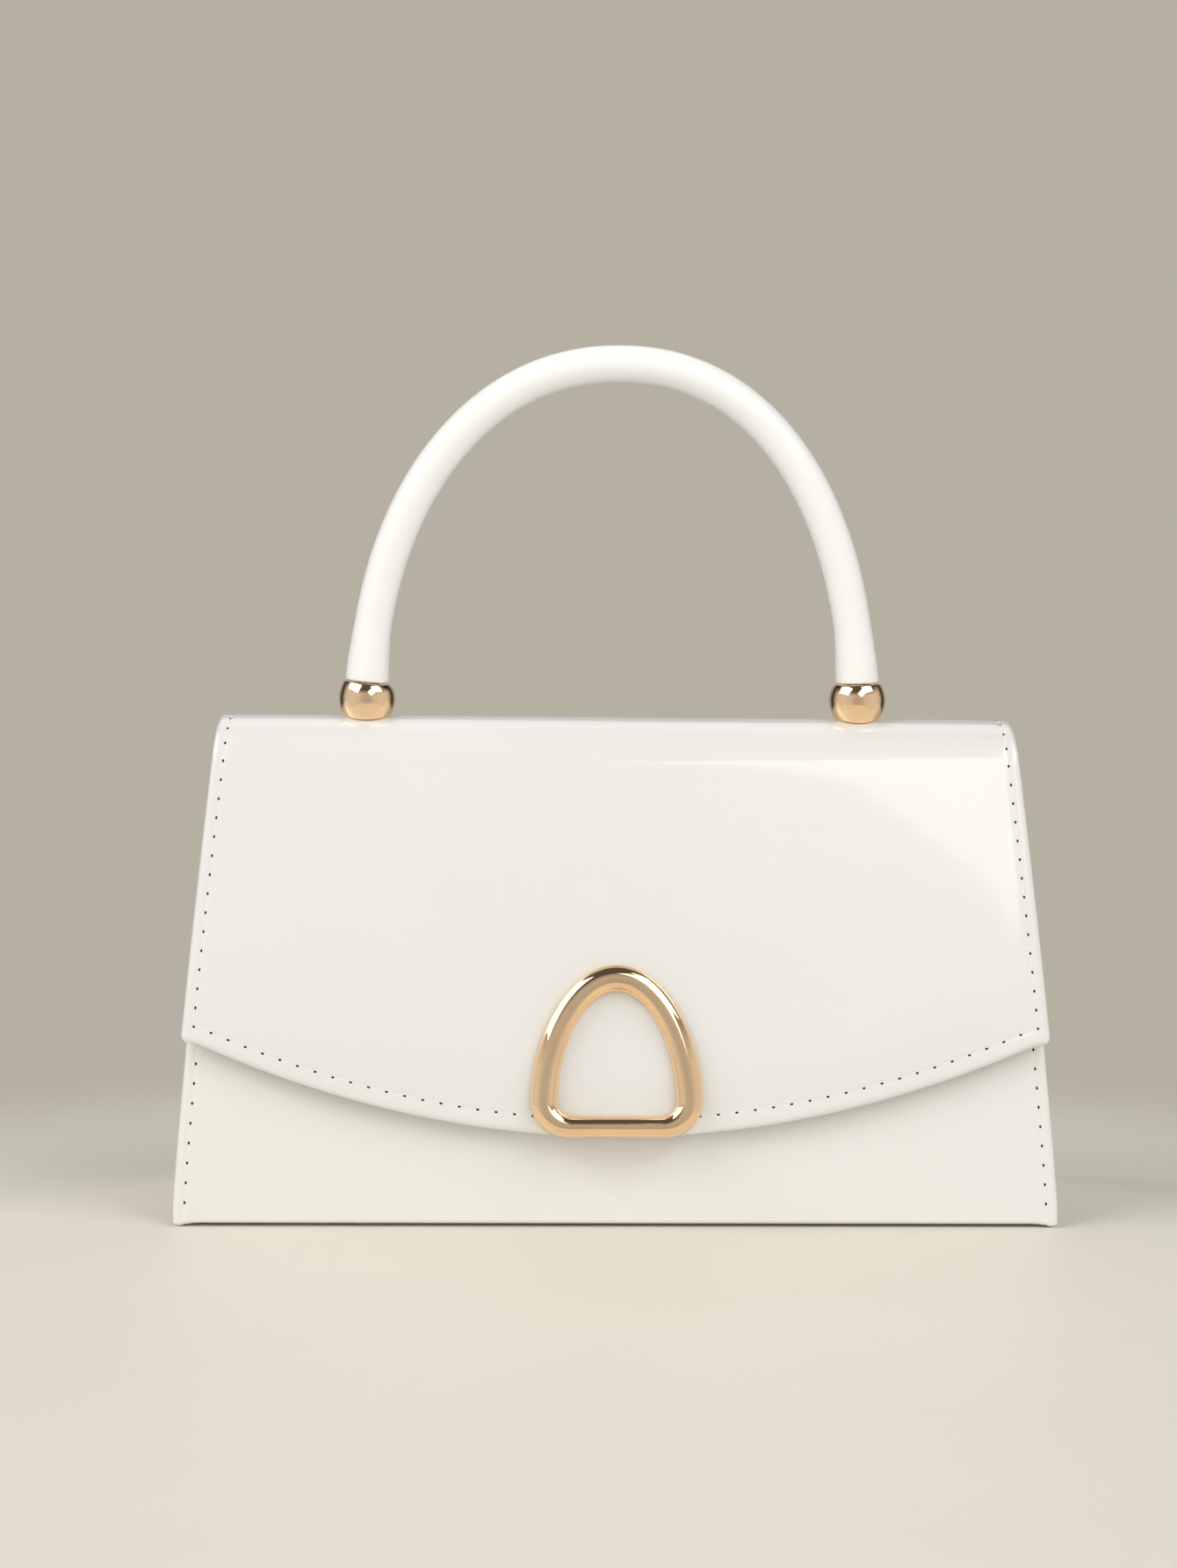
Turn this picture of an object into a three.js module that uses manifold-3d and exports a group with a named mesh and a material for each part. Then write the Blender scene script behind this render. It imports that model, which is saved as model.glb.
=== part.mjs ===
// Structured top-handle clutch bag: a leather shell with a front flap, folded side gussets,
// a round arched handle standing on two metal balls, and a metal loop ornament on the flap.
// Millimetres, +Z up. The front faces -Y and the base stands on z = 0.

import * as THREE from "three";
import { mergeVertices } from "three/addons/utils/BufferGeometryUtils.js";
import Module from "manifold-3d";

const wasm = await Module();
wasm.setup();

// Body
const BASE_HALF_WIDTH = 105.1;
const BASE_DEPTH = 68;
const BODY_HEIGHT = 118.4;
const SIDE_TAPER = 0.082;
const SIDE_EASE = 12;
const FOLD_RADIUS = 13.5;
const FOLD_Y = -1.5;
const FOLD_Z = BODY_HEIGHT - FOLD_RADIUS;
const SHELL_START = 1.4;

// Leather
const SHELL_THICKNESS = 2.2;
const FRONT_THICKNESS = 2.2;
const GUSSET_THICKNESS = 1.4;
const EDGE_ROUND = 0.8;
const SEAT_GAP = 0.3;

// Flap
const FLAP_GAP = 3.0;
const FLAP_DROP = 88.7;
const FLAP_CURVE = 0.0023;
const FLAP_FLARE = 1.1;
const PAD_HEIGHT = 1.1;
const PAD_REACH = 42;
const PAD_FOOT = 16;

// Front panel and base
const FRONT_TOP = 96;
const BASE_FOLD = 2.5;
const CORNER_ROUND = 1.5;

// Gussets
const GUSSET_TOP = 92;
const FLANGE_INSET = 1.0;
const FLANGE_LENGTH = 5.0;
const PLEAT_AT_BASE = 2;
const PLEAT_AT_TOP = 15;

// Handle
const HANDLE_HALF_SPAN = 59.6;
const HANDLE_RISE = 85.2;
const HANDLE_CENTRE_Z = 119.1;
const HANDLE_POWER = 2.146;
const HANDLE_SHIFT = -0.8;
const HANDLE_SKEW = 1.5;
const HANDLE_RADIUS = 4.32;
const HANDLE_END_RADIUS = 4.87;
const HANDLE_FLARE_LENGTH = 15.5;

// Metal balls and hidden posts
const BALL_RADIUS = 6.7;
const BALL_BELOW = 5.0;
const BALL_ABOVE = 4.0;
const POST_RADIUS = 1.9;
const POST_NUT_RADIUS = 4;
const POST_NUT_HEIGHT = 1.5;
const SOCKET_DEPTH = 8;

// Ornament and hidden magnet
const LOOP_HALF_WIDTH = 20.6;
const LOOP_HEIGHT = 41;
const LOOP_CORNER = 9;
const LOOP_TAPER = 0.06;
const LOOP_BAND = 6.6;
const LOOP_FOOT = 5.2;
const LOOP_THICKNESS = 3.4;
const LOOP_BEVEL = 1.3;
const PEG_RADIUS = 1.2;
const PEG_LENGTH = 2.4;
const PEG_X = 15.6;
const PEG_UP = 20;
const MAGNET_RADIUS = 7;
const MAGNET_UP = 15;

// Colours
const IVORY = "#f0ede3";
const LINING = "#e4dfd2";
const GOLD = "#dcb68a";
const STEEL = "#b9b9b6";

// Lean from the upright of a face that starts at the base and touches a circle about the fold's axis
function leanAngle(reach, radius) {
  return Math.atan2(reach, FOLD_Z) - Math.asin(radius / Math.hypot(reach, FOLD_Z));
}

const BACK_LEAN = leanAngle(BASE_DEPTH / 2 - FOLD_Y, FOLD_RADIUS);
const FRONT_RADIUS = FOLD_RADIUS - FLAP_GAP - SHELL_THICKNESS;
const FRONT_LEAN = leanAngle(BASE_DEPTH / 2 + FOLD_Y, FRONT_RADIUS);
const BACK_LENGTH = Math.sqrt((BASE_DEPTH / 2 - FOLD_Y) ** 2 + FOLD_Z ** 2 - FOLD_RADIUS ** 2);
const FOLD_LENGTH = FOLD_RADIUS * (Math.PI - BACK_LEAN - FRONT_LEAN);
const APEX_LENGTH = BACK_LENGTH + FOLD_RADIUS * (Math.PI / 2 - BACK_LEAN);
const FLAP_START = BACK_LENGTH + FOLD_LENGTH;

function smoothStep(value) {
  const t = Math.min(Math.max(value, 0), 1);
  return t * t * (3 - 2 * t);
}

// Half width of the panels at a length up from the base
function halfWidth(length) {
  return BASE_HALF_WIDTH - SIDE_TAPER * (Math.hypot(length, SIDE_EASE) - SIDE_EASE);
}

// Outer line of the shell seen from the side, by the length from the bottom of the back
function shellLine(length) {
  if (length <= BACK_LENGTH) {
    const y = BASE_DEPTH / 2 - length * Math.sin(BACK_LEAN);
    const z = length * Math.cos(BACK_LEAN);
    return { y, z, ny: Math.cos(BACK_LEAN), nz: Math.sin(BACK_LEAN) };
  }
  const turn = BACK_LEAN + Math.min(length - BACK_LENGTH, FOLD_LENGTH) / FOLD_RADIUS;
  const down = Math.max(length - FLAP_START, 0);
  const ny = Math.cos(turn);
  const nz = Math.sin(turn);
  const y = FOLD_Y + FOLD_RADIUS * ny - down * Math.sin(FRONT_LEAN);
  const z = FOLD_Z + FOLD_RADIUS * nz - down * Math.cos(FRONT_LEAN);
  return { y, z, ny, nz };
}

function shellHalfWidth(length) {
  const up = length < APEX_LENGTH ? length : 2 * APEX_LENGTH - length;
  const down = Math.max(length - FLAP_START, 0) / FLAP_DROP;
  return halfWidth(up) + FLAP_FLARE * down * (2 - down);
}

// Length of the shell down to the flap's curved lower edge
function shellEnd(x) {
  return FLAP_START + FLAP_DROP - FLAP_CURVE * x * x;
}

// Height of the flap's gentle bulge, steepest at its sides
function padHeight(x, length) {
  const fromSide = Math.min((shellHalfWidth(length) - Math.abs(x)) / PAD_REACH, 1);
  const across = 1 - (1 - fromSide) ** 2;
  const fromFold = smoothStep((length - FLAP_START) / PAD_REACH);
  const fromEdge = smoothStep((shellEnd(x) - length) / PAD_FOOT);
  return PAD_HEIGHT * across * fromFold * fromEdge;
}

// Steps from one length to another
function steps(from, to, count) {
  return Array.from({ length: count }, (_, i) => from + ((to - from) * (i + 1)) / count);
}

// Closed solid from vertices and triangles, turned outward
function solidGeometry(vertices, triangles) {
  let volume = 0;
  const [a, b, c] = [new THREE.Vector3(), new THREE.Vector3(), new THREE.Vector3()];
  for (const [i, j, k] of triangles) {
    a.fromArray(vertices[i]);
    b.fromArray(vertices[j]);
    c.fromArray(vertices[k]);
    volume += a.dot(b.cross(c));
  }
  const turned = volume < 0 ? triangles.map(([i, j, k]) => [i, k, j]) : triangles;
  const geometry = new THREE.BufferGeometry();
  geometry.setAttribute("position", new THREE.Float32BufferAttribute(vertices.flat(), 3));
  geometry.setIndex(turned.flat());
  return geometry;
}

// Wall with an outer face, an inner face and a rounded rim round all four edges.
// Each point function takes the column from -1 to 1 and the row's position in the list of rows.
function wallGeometry(columns, rows, outer, inner, rim) {
  const vertices = [];
  const triangles = [];
  const across = (i) => (2 * i) / columns - 1;
  const last = rows - 1;
  const index = (side, i, j) => side * (columns + 1) * rows + j * (columns + 1) + i;
  for (const face of [outer, inner]) {
    for (let j = 0; j < rows; j += 1) {
      for (let i = 0; i <= columns; i += 1) {
        vertices.push(face(across(i), j));
      }
    }
  }
  for (let j = 0; j < last; j += 1) {
    for (let i = 0; i < columns; i += 1) {
      const front = [index(0, i, j), index(0, i + 1, j), index(0, i + 1, j + 1), index(0, i, j + 1)];
      const back = [index(1, i, j), index(1, i, j + 1), index(1, i + 1, j + 1), index(1, i + 1, j)];
      for (const [p, q, r, s] of [front, back]) {
        triangles.push([p, q, r], [p, r, s]);
      }
    }
  }
  const loop = [];
  for (let i = 0; i < columns; i += 1) loop.push([i, 0]);
  for (let j = 0; j < last; j += 1) loop.push([columns, j]);
  for (let i = columns; i > 0; i -= 1) loop.push([i, last]);
  for (let j = last; j > 0; j -= 1) loop.push([0, j]);
  const rimStart = vertices.length;
  for (const [i, j] of loop) vertices.push(rim(across(i), j));
  loop.forEach(([i, j], n) => {
    const [k, l] = loop[(n + 1) % loop.length];
    const here = rimStart + n;
    const next = rimStart + ((n + 1) % loop.length);
    triangles.push([index(0, i, j), here, next], [index(0, i, j), next, index(0, k, l)]);
    triangles.push([here, index(1, i, j), index(1, k, l)], [here, index(1, k, l), next]);
  });
  return solidGeometry(vertices, triangles);
}

// Solid through closed outlines with the same number of points; the first and last lie level
function loftGeometry(outlines) {
  const count = outlines[0].length;
  const vertices = outlines.flat();
  const triangles = [];
  for (let j = 0; j + 1 < outlines.length; j += 1) {
    for (let i = 0; i < count; i += 1) {
      const k = (i + 1) % count;
      const [p, q, r, s] = [j * count + i, j * count + k, (j + 1) * count + k, (j + 1) * count + i];
      triangles.push([p, q, r], [p, r, s]);
    }
  }
  const ends = [outlines[0], outlines[outlines.length - 1]];
  ends.forEach((outline, end) => {
    const start = end * (outlines.length - 1) * count;
    const flat = outline.map(([x, y]) => new THREE.Vector2(x, y));
    const turn = THREE.ShapeUtils.area(flat) > 0 === (end === 1);
    for (const [i, j, k] of THREE.ShapeUtils.triangulateShape(flat, [])) {
      triangles.push(turn ? [start + i, start + j, start + k] : [start + i, start + k, start + j]);
    }
  });
  return solidGeometry(vertices, triangles);
}

// Solid for cutting and joining
function manifoldOf(geometry) {
  const plain = geometry.clone();
  for (const name of ["normal", "uv"]) plain.deleteAttribute(name);
  const merged = mergeVertices(plain, 1e-4);
  const vertProperties = new Float32Array(merged.attributes.position.array);
  const triVerts = new Uint32Array(merged.index.array);
  return new wasm.Manifold(new wasm.Mesh({ numProp: 3, vertProperties, triVerts }));
}

function geometryOf(manifold) {
  const { vertProperties, triVerts, numProp } = manifold.getMesh();
  const positions = [];
  for (let i = 0; i < vertProperties.length; i += numProp) {
    positions.push(vertProperties[i], vertProperties[i + 1], vertProperties[i + 2]);
  }
  const geometry = new THREE.BufferGeometry();
  geometry.setAttribute("position", new THREE.Float32BufferAttribute(positions, 3));
  geometry.setIndex(Array.from(triVerts));
  return geometry;
}

// Upright round bar for holes and sockets
function barGeometry(radius, x, y, from, to) {
  const bar = new THREE.CylinderGeometry(radius, radius, to - from, 16);
  bar.rotateX(Math.PI / 2);
  bar.translate(x, y, (from + to) / 2);
  return bar;
}

// Group on the flap's outer face: its origin is the middle of the lower edge, y runs up the flap, z outward
function flapFaceGroup() {
  const foot = shellLine(FLAP_START + FLAP_DROP);
  const group = new THREE.Group();
  group.position.set(0, foot.y, foot.z);
  group.rotation.x = Math.PI / 2 - FRONT_LEAN;
  group.updateMatrixWorld();
  return group;
}

// Back, rounded top and flap in one sheet, with holes for the handle's posts and the ornament's pegs
function backAndFlap(flapFace) {
  const lengths = [
    SHELL_START,
    ...steps(SHELL_START, BACK_LENGTH, 5),
    ...steps(BACK_LENGTH, FLAP_START, 12),
  ];
  const flapShares = steps(0, 1, 12);
  const rows = lengths.length + flapShares.length;
  const place = (across, row, inset, depth) => {
    const onFlap = row >= lengths.length;
    const share = onFlap ? flapShares[row - lengths.length] : 0;
    const guess = across * shellHalfWidth(FLAP_START + share * FLAP_DROP);
    const reach = shellEnd(guess) - FLAP_START - inset;
    const start = row === 0 ? EDGE_ROUND - inset : 0;
    const length = onFlap ? FLAP_START + share * reach : lengths[row] - start;
    const x = across * (shellHalfWidth(length) - inset);
    const line = shellLine(length);
    const out = padHeight(x, length) - depth;
    return [x, line.y + out * line.ny, line.z + out * line.nz];
  };
  const sheet = wallGeometry(
    24,
    rows,
    (across, row) => place(across, row, EDGE_ROUND, 0),
    (across, row) => place(across, row, EDGE_ROUND, SHELL_THICKNESS),
    (across, row) => place(across, row, 0, SHELL_THICKNESS / 2),
  );
  let solid = manifoldOf(sheet);
  for (const side of [-1, 1]) {
    const x = handleEndX(side);
    const hole = barGeometry(POST_RADIUS + SEAT_GAP, x, FOLD_Y, FOLD_Z, BODY_HEIGHT + 5);
    solid = solid.subtract(manifoldOf(hole));
    const pegHole = barGeometry(PEG_RADIUS + SEAT_GAP, side * PEG_X, PEG_UP, -2 * SHELL_THICKNESS, 5);
    solid = solid.subtract(manifoldOf(pegHole.applyMatrix4(flapFace.matrixWorld)));
  }
  return geometryOf(solid);
}

// Outer line of the front panel and base seen from the side, from the top edge to the base's back edge
function frontLine(part, share) {
  const sin = Math.sin(FRONT_LEAN);
  const cos = Math.cos(FRONT_LEAN);
  const turnY = -BASE_DEPTH / 2 + (BASE_FOLD * (1 + sin)) / cos;
  const turnTop = BASE_FOLD * (1 + sin);
  if (part === "panel") {
    const z = FRONT_TOP + (turnTop - FRONT_TOP) * share;
    const y = -BASE_DEPTH / 2 + (z * sin) / cos;
    return { y, z, ny: -cos, nz: sin, up: z / cos, corner: 0 };
  }
  if (part === "turn") {
    const angle = Math.PI - FRONT_LEAN + (Math.PI / 2 + FRONT_LEAN) * share;
    const ny = Math.cos(angle);
    const nz = Math.sin(angle);
    const [y, z] = [turnY + BASE_FOLD * ny, BASE_FOLD * (1 + nz)];
    return { y, z, ny, nz, up: z / cos, corner: share ** 2 };
  }
  const y = turnY + (baseBackY() - turnY) * share;
  return { y, z: 0, ny: 0, nz: -1, up: 0, corner: 1 };
}

function frontOuterY(z) {
  return -BASE_DEPTH / 2 + z * Math.tan(FRONT_LEAN);
}

function backInnerY(z) {
  return BASE_DEPTH / 2 - z * Math.tan(BACK_LEAN) - SHELL_THICKNESS / Math.cos(BACK_LEAN);
}

function baseBackY() {
  return backInnerY(FRONT_THICKNESS) - SEAT_GAP;
}

// Front panel turned under at the bottom into the flat base
function frontAndBase() {
  const line = [
    frontLine("panel", 0),
    ...steps(0, 1, 6).map((share) => frontLine("panel", share)),
    ...steps(0, 1, 5).map((share) => frontLine("turn", share)),
    ...steps(0, 1, 4).map((share) => frontLine("base", share)),
  ];
  const place = (across, row, inset, depth) => {
    const { y, z, ny, nz, up, corner } = line[row];
    const x = across * (halfWidth(up) - CORNER_ROUND * corner - inset);
    const back = row === line.length - 1 ? -inset : 0;
    const top = row === 0 ? -inset : 0;
    return [
      x,
      y - depth * ny + back + top * Math.sin(FRONT_LEAN),
      z - depth * nz + top * Math.cos(FRONT_LEAN),
    ];
  };
  return wallGeometry(
    16,
    line.length,
    (across, row) => place(across, row, EDGE_ROUND, 0),
    (across, row) => place(across, row, EDGE_ROUND, FRONT_THICKNESS),
    (across, row) => place(across, row, 0, FRONT_THICKNESS / 2),
  );
}

// Closed outline of a folded strip of even thickness, with mitred corners
function stripOutline(points, thickness) {
  const sides = [[], []];
  points.forEach((point, n) => {
    const before = points[Math.max(n - 1, 0)];
    const after = points[Math.min(n + 1, points.length - 1)];
    const inWay = point.clone().sub(before).normalize();
    const outWay = after.clone().sub(point).normalize();
    const way = inWay.clone().add(outWay).normalize();
    const cosHalf = n === 0 || n === points.length - 1 ? 1 : way.dot(outWay);
    const normal = new THREE.Vector2(-way.y, way.x).multiplyScalar(thickness / 2 / cosHalf);
    sides[0].push(point.clone().add(normal));
    sides[1].push(point.clone().sub(normal));
  });
  return [...sides[0], ...sides[1].reverse()];
}

// Side panel: flanges against front and back, folded inward between them, deeper towards the top
function gusset(side) {
  const bottom = FRONT_THICKNESS + SEAT_GAP;
  const outlines = [bottom, ...steps(bottom, GUSSET_TOP, 6)].map((z) => {
    const share = (z - bottom) / (GUSSET_TOP - bottom);
    const pleat = PLEAT_AT_BASE + (PLEAT_AT_TOP - PLEAT_AT_BASE) * smoothStep(share);
    const seat = SEAT_GAP + GUSSET_THICKNESS / 2;
    const frontY = frontOuterY(z) + FRONT_THICKNESS / Math.cos(FRONT_LEAN) + seat;
    const backY = backInnerY(z) - seat;
    const edge = halfWidth(z) - FLANGE_INSET;
    const wall = edge - FLANGE_LENGTH;
    const middle = (frontY + backY) / 2;
    const points = [
      [edge, frontY],
      [wall, frontY],
      [wall - pleat * 0.55, (frontY + middle) / 2],
      [wall - pleat, middle],
      [wall - pleat * 0.55, (backY + middle) / 2],
      [wall, backY],
      [edge, backY],
    ].map(([x, y]) => new THREE.Vector2(side * x, y));
    return stripOutline(points, GUSSET_THICKNESS).map(({ x, y }) => [x, y, z]);
  });
  return loftGeometry(outlines);
}

// Centre line of the handle, from its right end over the top to its left end.
// It stands a little left of the middle and leans a little to the right.
function handlePoint(angle) {
  const power = 2 / HANDLE_POWER;
  const cos = Math.cos(angle);
  const x = HANDLE_HALF_SPAN * Math.sign(cos) * Math.abs(cos) ** power;
  const z = HANDLE_CENTRE_Z + HANDLE_RISE * Math.sin(angle) ** power;
  const climb = (z - handleStartZ()) / (HANDLE_CENTRE_Z + HANDLE_RISE - handleStartZ());
  return new THREE.Vector2(x + HANDLE_SHIFT + HANDLE_SKEW * climb ** 2, z);
}

function ballBaseZ() {
  return BODY_HEIGHT + SEAT_GAP;
}

function handleStartZ() {
  return ballBaseZ() + BALL_BELOW + BALL_ABOVE + SEAT_GAP;
}

function handleStartAngle() {
  const share = (handleStartZ() - HANDLE_CENTRE_Z) / HANDLE_RISE;
  return Math.asin(share ** (HANDLE_POWER / 2));
}

function handleEndX(side) {
  return handlePoint(Math.PI / 2 - side * (Math.PI / 2 - handleStartAngle())).x;
}

// Round arched handle, a little wider at its two ends, with a socket in each end
function handle() {
  const count = 44;
  const start = handleStartAngle();
  const angles = [start, ...steps(start, Math.PI - start, count)];
  const rings = angles.map((angle, n) => {
    const centre = handlePoint(angle);
    const ahead = handlePoint(Math.min(angle + 1e-3, Math.PI)).sub(handlePoint(angle - 1e-3)).normalize();
    if (n === 0) ahead.set(0, 1);
    if (n === count) ahead.set(0, -1);
    const fromEnd = centre.y - handleStartZ();
    const flare = 1 - smoothStep(fromEnd / HANDLE_FLARE_LENGTH);
    const radius = HANDLE_RADIUS + (HANDLE_END_RADIUS - HANDLE_RADIUS) * flare;
    return Array.from({ length: 14 }, (_, i) => {
      const turn = (2 * Math.PI * i) / 14;
      const out = radius * Math.cos(turn);
      const x = centre.x + out * ahead.y;
      const z = n === 0 || n === count ? handleStartZ() : centre.y - out * ahead.x;
      return [x, FOLD_Y + radius * Math.sin(turn), z];
    });
  });
  let solid = manifoldOf(loftGeometry(rings));
  for (const side of [-1, 1]) {
    const top = handleStartZ() + SOCKET_DEPTH;
    const socket = barGeometry(POST_RADIUS + SEAT_GAP, handleEndX(side), FOLD_Y, BODY_HEIGHT, top);
    solid = solid.subtract(manifoldOf(socket));
  }
  return geometryOf(solid);
}

// Piece turned about the upright axis, from radius and height pairs
function turnedGeometry(profile, segments) {
  const points = profile.map(([radius, height]) => new THREE.Vector2(radius, height));
  const geometry = new THREE.LatheGeometry(points, segments);
  geometry.rotateX(Math.PI / 2);
  return geometry;
}

// Metal ball cut flat below and above, with a bore for the post
function ball() {
  const bore = POST_RADIUS + SEAT_GAP;
  const centre = ballBaseZ() + BALL_BELOW;
  const from = -Math.asin(BALL_BELOW / BALL_RADIUS);
  const to = Math.asin(BALL_ABOVE / BALL_RADIUS);
  const round = [from, ...steps(from, to, 10)].map((angle) => [
    BALL_RADIUS * Math.cos(angle),
    centre + BALL_RADIUS * Math.sin(angle),
  ]);
  const inner = [
    [bore, centre + BALL_ABOVE],
    [bore, centre - BALL_BELOW],
  ];
  return turnedGeometry([inner[1], ...round, ...inner], 24);
}

// Hidden post with its nut under the top of the bag
function post() {
  const inside = FOLD_RADIUS - SHELL_THICKNESS;
  const drop = inside - Math.sqrt(inside ** 2 - POST_NUT_RADIUS ** 2);
  const nutTop = BODY_HEIGHT - SHELL_THICKNESS - drop - SEAT_GAP;
  const nutBottom = nutTop - POST_NUT_HEIGHT;
  const top = handleStartZ() + SOCKET_DEPTH - SEAT_GAP;
  const profile = [
    [0, nutBottom],
    [POST_NUT_RADIUS, nutBottom],
    [POST_NUT_RADIUS, nutTop],
    [POST_RADIUS, nutTop],
    [POST_RADIUS, top],
    [0, top],
  ];
  return turnedGeometry(profile, 16);
}

// Outline of the ornament, drawn in from its outside by one amount at the sides and another at the foot:
// a straight foot, round corners and an arch that narrows towards its crown
function loopOutline(sideInset, footInset) {
  const halfSpan = LOOP_HALF_WIDTH - sideInset;
  const corner = LOOP_CORNER - footInset;
  const rise = LOOP_HEIGHT - LOOP_CORNER - sideInset;
  const outline = new THREE.Shape();
  outline.moveTo(corner - halfSpan, footInset);
  outline.lineTo(halfSpan - corner, footInset);
  outline.absarc(halfSpan - corner, LOOP_CORNER, corner, -Math.PI / 2, 0, false);
  for (const angle of steps(0, Math.PI, 28)) {
    const x = halfSpan * Math.cos(angle) * (1 - LOOP_TAPER * Math.sin(angle));
    outline.lineTo(x, LOOP_CORNER + rise * Math.sin(angle));
  }
  outline.absarc(corner - halfSpan, LOOP_CORNER, corner, Math.PI, 1.5 * Math.PI, false);
  return outline;
}

// Closed metal loop with a rounded front, flat behind, with two pegs
function claspOrnament() {
  const outline = loopOutline(0, 0);
  outline.holes.push(loopOutline(LOOP_BAND, LOOP_FOOT));
  const plate = new THREE.ExtrudeGeometry(outline, {
    depth: LOOP_THICKNESS - LOOP_BEVEL,
    bevelEnabled: true,
    bevelThickness: LOOP_BEVEL,
    bevelSize: LOOP_BEVEL,
    bevelOffset: -LOOP_BEVEL,
    bevelSegments: 3,
    curveSegments: 6,
  });
  const behind = barGeometry(LOOP_HEIGHT * 2, 0, 0, -LOOP_BEVEL * 2, 0);
  let solid = manifoldOf(plate).subtract(manifoldOf(behind));
  for (const side of [-1, 1]) {
    solid = solid.add(manifoldOf(barGeometry(PEG_RADIUS, side * PEG_X, PEG_UP, -PEG_LENGTH, 1)));
  }
  return geometryOf(solid);
}

// Hidden round magnet between the flap and the front panel
function claspMagnet() {
  const from = -SHELL_THICKNESS - FLAP_GAP + SEAT_GAP;
  const to = -SHELL_THICKNESS - SEAT_GAP;
  return barGeometry(MAGNET_RADIUS, 0, 0, from, to);
}

function leather(color) {
  return new THREE.MeshStandardMaterial({ color, roughness: 0.25, metalness: 0, flatShading: true });
}

function metal(color) {
  return new THREE.MeshStandardMaterial({ color, roughness: 0.15, metalness: 1, flatShading: true });
}

const bag = new THREE.Group();
bag.name = "top_handle_clutch_bag";
const flapFace = flapFaceGroup();
bag.add(flapFace);

function addPiece(parent, name, geometry, material, x = 0, y = 0, z = 0) {
  const mesh = new THREE.Mesh(geometry, material);
  mesh.name = name;
  mesh.position.set(x, y, z);
  parent.add(mesh);
}

addPiece(bag, "back_and_flap", backAndFlap(flapFace), leather(IVORY));
addPiece(bag, "front_and_base", frontAndBase(), leather(IVORY));
addPiece(bag, "handle", handle(), leather(IVORY));
for (const [name, side] of [["left", -1], ["right", 1]]) {
  addPiece(bag, `gusset_${name}`, gusset(side), leather(LINING));
  addPiece(bag, `ball_${name}`, ball(), metal(GOLD), handleEndX(side), FOLD_Y);
  addPiece(bag, `post_${name}`, post(), metal(STEEL), handleEndX(side), FOLD_Y);
}
addPiece(flapFace, "clasp_ornament", claspOrnament(), metal(GOLD), 0, 0, PAD_HEIGHT + SEAT_GAP);
addPiece(flapFace, "clasp_magnet", claspMagnet(), metal(STEEL), 0, MAGNET_UP);

export default bag;
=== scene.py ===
import math

import bmesh
import bpy
import numpy as np
from mathutils import Matrix


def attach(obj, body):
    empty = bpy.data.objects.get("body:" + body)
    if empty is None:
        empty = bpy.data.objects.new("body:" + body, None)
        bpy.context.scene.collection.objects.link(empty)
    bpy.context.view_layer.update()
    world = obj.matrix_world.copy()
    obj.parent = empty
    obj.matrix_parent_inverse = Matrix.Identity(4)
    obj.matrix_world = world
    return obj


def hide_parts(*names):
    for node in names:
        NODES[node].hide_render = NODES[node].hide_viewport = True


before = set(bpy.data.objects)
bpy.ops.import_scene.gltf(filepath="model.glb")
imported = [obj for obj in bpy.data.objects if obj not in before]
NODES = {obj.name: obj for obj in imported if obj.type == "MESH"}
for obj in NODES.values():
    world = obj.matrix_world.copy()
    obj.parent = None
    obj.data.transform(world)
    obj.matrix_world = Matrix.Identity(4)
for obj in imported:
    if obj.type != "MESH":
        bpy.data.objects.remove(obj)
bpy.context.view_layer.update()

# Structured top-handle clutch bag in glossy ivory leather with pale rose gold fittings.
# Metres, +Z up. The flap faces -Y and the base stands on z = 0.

# Body
BASE_HALF_WIDTH = 0.1051
BASE_DEPTH = 0.068
BODY_HEIGHT = 0.1184
SIDE_TAPER = 0.082
SIDE_EASE = 0.012
FOLD_RADIUS = 0.0135
FOLD_Y = -0.0015
FOLD_Z = BODY_HEIGHT - FOLD_RADIUS
SHELL_START = 0.0006
RIDGE_LIFT = 0.00058
RIDGE_TILT = -0.0051

# Leather
SHELL_THICKNESS = 0.0022
FRONT_THICKNESS = 0.0022
GUSSET_THICKNESS = 0.0014
SEAT_GAP = 0.0003
EDGE_ROLL = 0.0015
GUSSET_ROLL = 0.0007
SHEET_CORNER = 0.0018
LINING_MARGIN = 0.009
GRAIN = 0.00001

# Unevenness of the leather. A swell has its radians a metre across and along, and the angle it starts at.
WAVE_HEIGHT = 0.00006
SLOW_SWELLS = ((61, 23, 0.7), (0, 47, 1.9))
QUICK_SWELLS = ((118, -71, 2.3), (33, 96, 0))
QUICK_SHARE = 0.45
FRONT_SHIFT = 0.05
FRONT_SETTLE = 0.012

# Flap
FLAP_GAP = 0.003
FLAP_DROP = 0.0887
FLAP_CURVE = 2.2
EDGE_MIDDLE = 0.0004
DIP_START = 0.0965
CORNER_DIP = 28
FLAP_FLARE = 0.0011
PAD_HEIGHT = 0.0011
PAD_REACH = 0.042
PAD_LEAD = 0.004
PAD_FOOT = 0.016

# Front panel and base
FRONT_TOP = 0.096
BASE_FOLD = 0.0009
FOLD_THICKNESS = 0.0008
PARED_REACH = 0.004
BASE_LIFT = 0.0008
LIFT_REACH = 0.006
CORNER_ROUND = 0.002

# Gussets
GUSSET_TOP = 0.092
FLANGE_INSET = 0.001
FLANGE_LENGTH = 0.005
PLEAT_AT_BASE = 0.002
PLEAT_AT_TOP = 0.015
PLEAT_SHOULDER = 0.55
PLEAT_ROUND = 0.0022

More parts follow.
